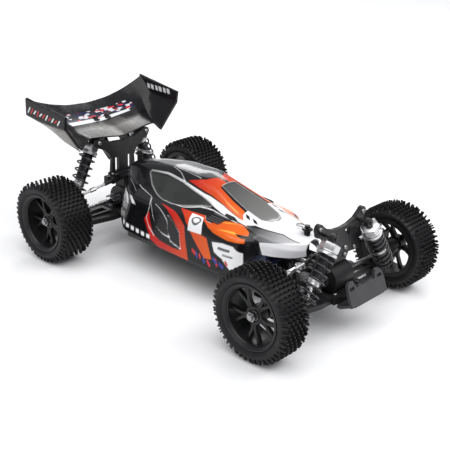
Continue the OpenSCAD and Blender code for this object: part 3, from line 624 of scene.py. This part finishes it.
def wing_side(side, tag):
    """The outer skin of a side plate: upright, then sloping in to the low corner."""
    xs = np.linspace(WING_FRONT - 0.25, WING_REAR, 60)
    vs = np.linspace(0, 2, 41)
    grid = np.zeros((len(xs), len(vs), 3))
    for i, x in enumerate(xs):
        low_y, low_z, side_y, edge_z, top_z = (
            np.interp(-x, -SIDE_SKIN[:, 0], column) for column in SIDE_SKIN[:, 1:].T)
        for k in (-0.06, 0, 0.06):
            v = np.clip(vs + k, 0, 2)
            grid[i, :, 1] += np.interp(v, (0, 1, 2), (low_y, side_y, side_y)) / 3
            grid[i, :, 2] += np.interp(v, (0, 1, 2), (low_z, edge_z, top_z)) / 3
        grid[i, :, 0] = x + np.interp(vs, (0, 1, 2), (0, 3.3, PLATE_RAKE)) * (x - WING_REAR) / WING_CHORD
    grid[:, :, 1] = (grid[:, :, 1] + 0.4) * side
    faces = [f[::side] for f in sheet_faces(len(xs), len(vs))]
    skin = Shape().add([tuple(p) for p in grid.reshape(-1, 3)], faces)
    ob = piece(f"wing_side_{tag}", skin, "wing_plastic", ROOT, angle=50)
    x, _, z = grid.reshape(-1, 3).T
    v = np.tile(vs, len(xs))
    marks = [[], []]
    for k in range(11):
        x0 = -189 + k * 4.7
        z0 = 140.5 - k * 0.42
        rise = rng.uniform(1.2, 3.0)
        marks[k % 2].append(stroke([(x0, z0 - rise), (x0 + 3.4, z0 + rise)], 1.6, x, z))
    # the sloping lower part of the outer skin carries the painted reflection of the floor
    wing_fields(ob.data, under=(0.985 - v) * 20, label=np.minimum(union(*marks[0]), (v - 1.05) * 20),
                red_label=np.minimum(union(*marks[1]), (v - 1.05) * 20))
    wall = ob.modifiers.new("wall", "SOLIDIFY")
    wall.thickness, wall.offset = 0.9 * MM, -1


def wing():
    """The floor and the inner skin of the side plates, swept up to their tops at the back."""
    xs = np.linspace(WING_FRONT, WING_REAR, 96)
    half = np.linspace(0, 6, 97)
    ts = np.concatenate([-half[:0:-1], half])
    nx, nt = len(xs), len(ts)
    grid = np.zeros((nx, nt, 3))
    steps = np.linspace(-1, 1, 5)
    for i, x in enumerate(xs):
        reach = min(4.0, WING_FRONT - x, x - WING_REAR)
        for ox in steps:
            for ot in steps:
                t = np.abs(ts) + ot * np.minimum(0.22, 6 - np.abs(ts))
                y, z = wing_point(x + ox * reach, np.abs(t))
                grid[i, :, 1] += np.sign(ts) * y / 25
                grid[i, :, 2] += z / 25
        # the side plates' leading edge runs forward towards their top
        grid[i, :, 0] = x + np.clip((np.abs(ts) - 3) / 3, 0, 1) * PLATE_RAKE * (x - WING_REAR) / WING_CHORD
    shape = Shape().add([tuple(p) for p in grid.reshape(-1, 3)], sheet_faces(nx, nt))
    ob = piece("wing_skin", shape, "wing_plastic", ROOT, angle=40, replaces=("wing",))
    x, y, z = grid.reshape(-1, 3).T
    t = np.tile(np.abs(ts), nx)
    tongue = area([(-130, -26), (-150, -30), (-164, -22), (-164, 22), (-150, 30), (-130, 26)], x, y)
    bars = [area([(-142 - k * 6.6, 143.6), (-146 - k * 6.6 - w, 144.6), (-145 - k * 6.6 - w, 139.4),
                  (-141 - k * 6.6, 138.4)], x, z) for k, w in enumerate((0.8, 0.2, 1.0, 0, 0.8, 0.3))]
    wing_fields(ob.data, smoke=tongue,
                silver=np.minimum(area([(-164, -44), (-169, -46), (-172, 40), (-167, 40)], x, y), 2.4 - t),
                strip=np.minimum(area([(-170, -48), (-181, -50), (-181, 50), (-170, 50)], x, y), 2.6 - t),
                label=np.minimum(np.minimum(union(*bars), t - 4.4), y))
    wall = ob.modifiers.new("wall", "SOLIDIFY")
    wall.thickness, wall.offset = 1.5 * MM, 1
    wing_side(1, "left")
    wing_side(-1, "right")
    nuts = Shape()
    nut = [(4.2, 0), (4.2, 1.4), (3, 2), (3, 4.5), (2.4, 5), (0.01, 5)]
    for y in (8, -8):
        nuts.lathe(nut, at(-168, y, 118.5, 0, -24), 24)
    piece("wing_nuts", nuts, "black_nylon", ROOT, bevel=0.2)


# ---------- wheels ----------

def tyre(c, side, front):
    """A casing with a bead and a hollow inside, and rows of pins around it."""
    x, y, w = WHEEL[front]
    h = w / 2
    shape = Shape(side)
    m = at(x, y, AXLE_Z, -90)
    half = [(30.1, h - 3), (31, h - 1.9), (32.2, h - 1.5), (32.6, h - 1.0), (34, h - 0.5), (35.8, h - 0.8),
            (36.8, h - 2.0), (37.4, h - 3.8), (37.8, h - 7)]
    outer = [(r, -z) for r, z in half] + [(r, z) for r, z in half[::-1]]
    inner = [(28.3, h - 3), (28.3, h - 6), (33, h - 4), (36, h - 7.5)]
    loop = outer + inner + [(r, -z) for r, z in inner[::-1]]
    shape.lathe(loop, m, 96, closed=True)

    def pin(turn, t, base, height, lean, r, root):
        """A pin at turn degrees around the casing and t along the axle, leaning outwards."""
        place = m @ Matrix.Rotation(math.radians(turn), 4, "Z") @ at(0, 0, t, 0, 90)
        place = place @ at(0, 0, base, 0, math.copysign(lean, t))
        shape.box((-r, -r, -root), (r, r, height), place, 0.8)

    rows, shoulder_pins = 60, 46
    columns = 6 if front else 7
    pitch = (w - 8) / (columns - 1)
    for k in range(rows):
        odd = k % 2
        for j in range(columns - odd):
            t = (j + odd / 2 - (columns - 1) / 2) * pitch
            edge = abs(t) > h - 5.5
            base, top, lean = (37.0, 42.2, 10) if edge else (37.4, 42.5, 0)
            pin(k * 360 / rows, t, base, top - base, lean, 0.85, 0.6)
    for k in range(shoulder_pins):
        for t in (-(h - 2.0), h - 2.0):
            pin(k * 360 / shoulder_pins, t, 36.0, 5.2, 20, 0.95, 0.8)
    piece(f"tyre_{c}_tread", shape, "tyre_rubber", f"wheel_{c}", angle=40, replaces=(f"tyre_{c}",))


def rim(c, side, front):
    """A barrel with a lip, a hub and five forked spokes; the wheel nut is a piece of its own."""
    x, y, w = WHEEL[front]
    h = w / 2 - 2
    shape = Shape(side)
    m = at(x, y, AXLE_Z, -90)
    barrel = [(25.2, -h), (29.8, -h), (29.8, -h + 0.8), (28.1, -h + 0.9), (28.1, h - 0.9), (29.8, h - 0.8)]
    lip = [(29.8, h - 0.1), (28.9, h), (28.0, h - 0.3), (27.6, h - 1.1), (26.6, h - 1.3), (26.1, h - 2.6),
           (25.4, h - 3.2), (25.2, h - 5)]
    shape.lathe(barrel + lip, m, 96, closed=True)
    shape.lathe([(2.7, -1), (8.4, -1), (8.6, 7.6), (8.0, 8.3), (5.6, 8.3), (5.4, 7.4), (2.7, 7.4)], m, 48,
                closed=True)
    for k in range(5):
        turn = m @ Matrix.Rotation(math.radians(90 + 72 * k), 4, "Z")
        for t in (-1, 1):
            arm = [(7.5, t * 0.1), (7.5, t * 3.0), (11.5, t * 2.7), (14.5, t * 3.4), (24.6, t * 7.9),
                   (25.6, t * 5.0), (15.6, t * 1.0), (13.6, t * 0.1)]
            shape.prism(arm[::t], 3.6, 7.8, turn)
    piece(f"rim_{c}_spokes", shape, "rim_plastic", f"wheel_{c}", bevel=0.35, replaces=(f"rim_{c}",))
    nut = Shape(side)
    nut.lathe([(3.7, 8.4), (3.9, 8.8), (3.9, 11.6), (3.5, 12.1), (2.6, 12.1)], m, 6)
    nut.lathe([(2.7, 12), (2.7, 12.9), (2.2, 13.2), (2.0, 13.9), (0.01, 13.9)], m, 24)
    nut.lathe([(4.6, 8.0), (4.6, 8.5), (3.6, 8.5)], m, 32)
    piece(f"wheel_nut_{c}", nut, "axle_steel", f"wheel_{c}", bevel=0.15)


# ---------- shocks ----------

def shock(c, side, front):
    """Local +Z runs from the upper eye down to the lower one."""
    x, a, b = SHOCK[front]
    length = math.dist(a, b)
    end = length * 0.68
    m = span(x, a, b)
    body, shaft = f"shock_body_{c}", f"shock_shaft_{c}"

    eye = Shape(side)
    eye.lathe([(1.6, -2.9), (3.4, -2.9), (4.1, -2.2), (4.1, 2.2), (3.4, 2.9), (1.6, 2.9)],
              m @ at(0, 0, 0, 0, 90), 32, closed=True)
    eye.lathe([(3.2, 2.4), (3.4, 4.6)], m, 24)
    piece(f"shock_eye_{c}", eye, "black_nylon", body, bevel=0.2)

    cap = Shape(side)
    cap.lathe([(6.6, 3.8), (9.0, 4.8), (9.0, 10.8), (8.4, 11.7)], m @ at(0, 0, 0, 0, 0, 30), 6)
    cap.lathe([(8.2, 11.4), (8.6, 11.7), (8.6, 12.3), (8.0, 12.6)], m, 48)
    cap.lathe([(9.2, 12.9), (9.5, 13.2), (9.5, 15.4), (9.2, 15.8), (5.9, 15.8), (5.9, 12.9)], m, 48,
              closed=True)
    cap.lathe([(5.6, end - 7.6), (5.9, end - 7.2), (5.9, end - 4.4), (5.5, end - 4.2), (5.5, end - 3.8),
               (5.9, end - 3.6), (5.9, end - 0.7), (5.2, end - 0.1), (1.7, end)], m, 32)
    piece(f"shock_cap_{c}", cap, "cap_aluminium", body, bevel=0.35)

    tube = Shape(side)
    threads = [(5.0, 12.2)]
    z = 12.4
    while z < end - 8.4:
        threads += [(5.55, z), (5.85, z + 0.45)]
        z += 0.9
    tube.lathe(threads + [(5.8, end - 7.8), (5.0, end - 7.4)], m, 40)
    piece(f"shock_tube_{c}", tube, "shock_aluminium", body, angle=60, replaces=(f"shock_body_{c}",))

    rod = Shape(side)
    rod.lathe([(1.45, end * 0.52), (1.45, length - 5)], m, 20)
    piece(f"shock_rod_{c}", rod, "shaft_chrome", shaft)
    foot = Shape(side)
    foot.lathe([(1.6, length - 10), (8.9, length - 10), (9.2, length - 9.7), (9.2, length - 8.4),
                (8.7, length - 7.9), (2.4, length - 7.8), (2.3, length - 3), (1.6, length - 3)],
               m, 40, closed=True)
    foot.lathe([(2.2, -2.4), (3.4, -2.4), (4.0, -1.8), (4.0, 1.8), (3.4, 2.4), (2.2, 2.4)],
               m @ at(0, 0, length, 0, 90), 32, closed=True)
    piece(f"shock_foot_{c}", foot, "black_nylon", shaft, bevel=0.2, replaces=(f"shock_shaft_{c}",))
    turns, wire = 7, 0.95
    z0, z1 = 15.9, length - 10.1
    path = []
    steps = 190
    for i in range(steps + 1):
        f = i / steps
        angle = 2 * math.pi * (turns * f)
        # the end turns lie flat on their seats
        lift = np.interp(f, (0, 0.09, 0.91, 1), (0, 0.045, 0.955, 1))
        path.append((8.7 * math.cos(angle), 8.7 * math.sin(angle), z0 + wire + (z1 - z0 - 2 * wire) * lift))
    coil = Shape(side).tube(path, wire, 10, m)
    ob = piece(f"spring_coil_{c}", coil, "spring_steel", None, angle=60)
    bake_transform(ob)
    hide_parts(f"shock_spring_{c}")


# ---------- links, screws and clips ----------

def turnbuckle(c, side, front):
    """A camber link: a threaded rod with a hexagon in its middle, between two rod ends."""
    x, a, b = CAMBER_LINK[front]
    length = math.dist(a, b)
    m = span(x, a, b)
    rod = Shape(side)
    thread = []
    z = 10.0
    while z < length - 11:
        thread += [(1.2, z), (1.45, z + 0.4)]
        z += 0.8
    rod.lathe(thread, m, 16)
    middle = length / 2
    rod.lathe([(1.5, middle - 4), (2.3, middle - 3.6), (2.3, middle + 3.6), (1.5, middle + 4)], m, 6)
    piece(f"turnbuckle_{c}", rod, "link_aluminium", f"camber_link_{c}", angle=50,
          replaces=(f"camber_link_{c}",))
    ends = Shape(side)
    for z, r, bore in ((0, 3.8, 1.6), (length, 4.4, 2.95)):
        ends.lathe([(bore, -2), (r - 0.4, -2), (r, -1.6), (r, 1.6), (r - 0.4, 2), (bore, 2)],
                   m @ at(0, 0, z, 0, 90), 28, closed=True)
    ends.lathe([(2.2, 3.2), (2.3, 3.6), (2.1, 11.5), (1.6, 12)], m, 20)
    ends.lathe([(1.6, length - 12), (2.1, length - 11.5), (2.3, length - 4.4), (2.2, length - 4)], m, 20)
    piece(f"rod_ends_{c}", ends, "black_nylon", f"camber_link_{c}", bevel=0.15)


def clip(tag, x, z, turn):
    """A spring clip through a body post."""
    path = [(-6, 0), (7, 0), (10, 0.6), (12, 2.6), (12, 5.2), (9.8, 7), (7, 6.6), (5, 4.8), (3.4, 3.9),
            (1.8, 4.3), (0, 4.9), (-1.8, 4.3), (-3.2, 3.9), (-6, 5.4)]
    fine = []
    for i in range(len(path) - 1):
        p0, p1, p2, p3 = (Vector(path[max(0, min(len(path) - 1, i + k))]) for k in (-1, 0, 1, 2))
        for s in (0, 0.25, 0.5, 0.75):
            fine.append(0.5 * (2 * p1 + (p2 - p0) * s + (2 * p0 - 5 * p1 + 4 * p2 - p3) * s * s
                               + (3 * p1 - p0 - 3 * p2 + p3) * s ** 3))
    shape = Shape().tube([(p[0], p[1], 0) for p in fine], 0.65, 8, at(x, 0, z, 0, 6, turn))
    piece(f"body_clip_{tag}", shape, "axle_steel", ROOT)
    washer = Shape().lathe([(2.7, -1.6), (5, -1.6), (5.2, -1.2), (5.0, -0.6), (2.7, -0.5)],
                           at(x, 0, z - 0.9), 32, closed=True)
    piece(f"post_washer_{tag}", washer, "tyre_rubber", ROOT, bevel=0.1)


def screws():
    """Screw heads on the towers and gear cases, and on the ends of the arms' outer pins."""
    heads = Shape()
    for s in (1, -1):
        for y, z in ((8, 63), (8, 70), (22, 66.5), (31.5, 98.4)):
            heads.screw(at(FRONT_X + 5.25, s * y, z, 0, 90))
        for y, z in ((8, 61), (16, 68), (33, 107)):
            heads.screw(at(REAR_X - 6.75, s * y, z, 0, 90))
        for y, z in ((8, 61), (16, 68)):
            heads.screw(at(REAR_X - 10.75, s * y, z, 0, -90))
        for x in (FRONT_X + 12, FRONT_X - 12, REAR_X + 12, REAR_X - 12):
            heads.screw(at(x, s * 12, 31.6), 2.2, 1.6)
    piece("frame_screws", heads, "axle_steel", ROOT, angle=50)
    for c, (side, front) in CORNERS.items():
        pins = Shape(side)
        for t in (-1, 1):
            pins.screw(at(WHEEL[front][0] + t * 10.5, *OUTER_PIN, 0, 90 * t), 2.2, 1.4)
        piece(f"arm_screws_{c}", pins, "axle_steel", f"lower_arm_{c}", angle=50)


# ---------- build ----------

for corner, (side, front) in CORNERS.items():
    tyre(corner, side, front)
    rim(corner, side, front)
    shock(corner, side, front)
    turnbuckle(corner, side, front)
body_shell()
shell_details()
wing()
clip("front", FRONT_X - 32, 80.2, 150)
clip("rear", REAR_X + 19.75, 97.2, 20)
screws()

for name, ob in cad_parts.items():
    for i, m in enumerate(ob.data.materials):
        key = m.name.split(".")[0] if m else ""
        ob.data.materials[i] = FINISH.get(key, FINISH["black_nylon"])


# ---------- floor, light and camera ----------

def floor():
    """A plain pale floor far wider than the view."""
    m, nodes, links, bsdf = nodes_of("studio_floor")
    links.new(blend_color(nodes, links, noise(nodes, links, 3), (0.86, 0.86, 0.87), (0.9, 0.9, 0.9)),
              bsdf.inputs["Base Color"])
    bsdf.inputs["Roughness"].default_value = 0.7
    me = bpy.data.meshes.new("floor")
    r = 6.0
    me.from_pydata([(-r, -r, 0), (r, -r, 0), (r, r, 0), (-r, r, 0)], [], [(0, 1, 2, 3)])
    me.materials.append(m)
    ob = bpy.data.objects.new("floor", me)
    bpy.context.scene.collection.objects.link(ob)


def softbox(name, place, target, size, power):
    """A soft rectangular lamp aimed at a point, in metres and watts."""
    light = bpy.data.lights.new(name, "AREA")
    light.shape, light.size, light.size_y, light.energy = "RECTANGLE", size[0], size[1], power
    ob = bpy.data.objects.new(name, light)
    ob.location = place
    ob.rotation_euler = (Vector(target) - Vector(place)).to_track_quat("-Z", "Y").to_euler()
    bpy.context.scene.collection.objects.link(ob)


def camera():
    """A long lens from the front right, a little tilted."""
    az, el, roll = (math.radians(a) for a in (42.14, 22.93, 1.75))
    back = Vector((math.sin(az) * math.cos(el), -math.cos(az) * math.cos(el), math.sin(el)))
    across = Vector((0, 0, 1)).cross(back).normalized()
    up = back.cross(across)
    across, up = (math.cos(roll) * across + math.sin(roll) * up,
                  math.cos(roll) * up - math.sin(roll) * across)
    data = bpy.data.cameras.new("camera")
    data.lens, data.sensor_width = 73.97, 36
    ob = bpy.data.objects.new("camera", data)
    m = Matrix((across, up, back)).transposed().to_4x4()
    m.translation = Vector((0.10, 19.17, 40)) * MM + back * 947.14 * MM
    ob.matrix_world = m
    bpy.context.scene.collection.objects.link(ob)
    bpy.context.scene.camera = ob


floor()
sky = bpy.data.lights.new("sky", "SUN")
sky.energy, sky.angle = 2.3, 1.2
lamp = bpy.data.objects.new("sky", sky)
lamp.rotation_euler = (math.radians(18), math.radians(14), 0)
bpy.context.scene.collection.objects.link(lamp)
softbox("key", (0.9, 0.5, 1.1), (0.05, 0, 0.05), (0.8, 0.5), 7)
softbox("rim", (-0.9, 0.9, 0.9), (0, 0, 0.08), (0.7, 0.4), 5)
bpy.context.scene.view_settings.view_transform = "Standard"
world = bpy.data.worlds.new("studio")
world.use_nodes = True
world.node_tree.nodes["Background"].inputs["Color"].default_value = (0.95, 0.96, 1.0, 1)
world.node_tree.nodes["Background"].inputs["Strength"].default_value = 0.42
bpy.context.scene.world = world
camera()
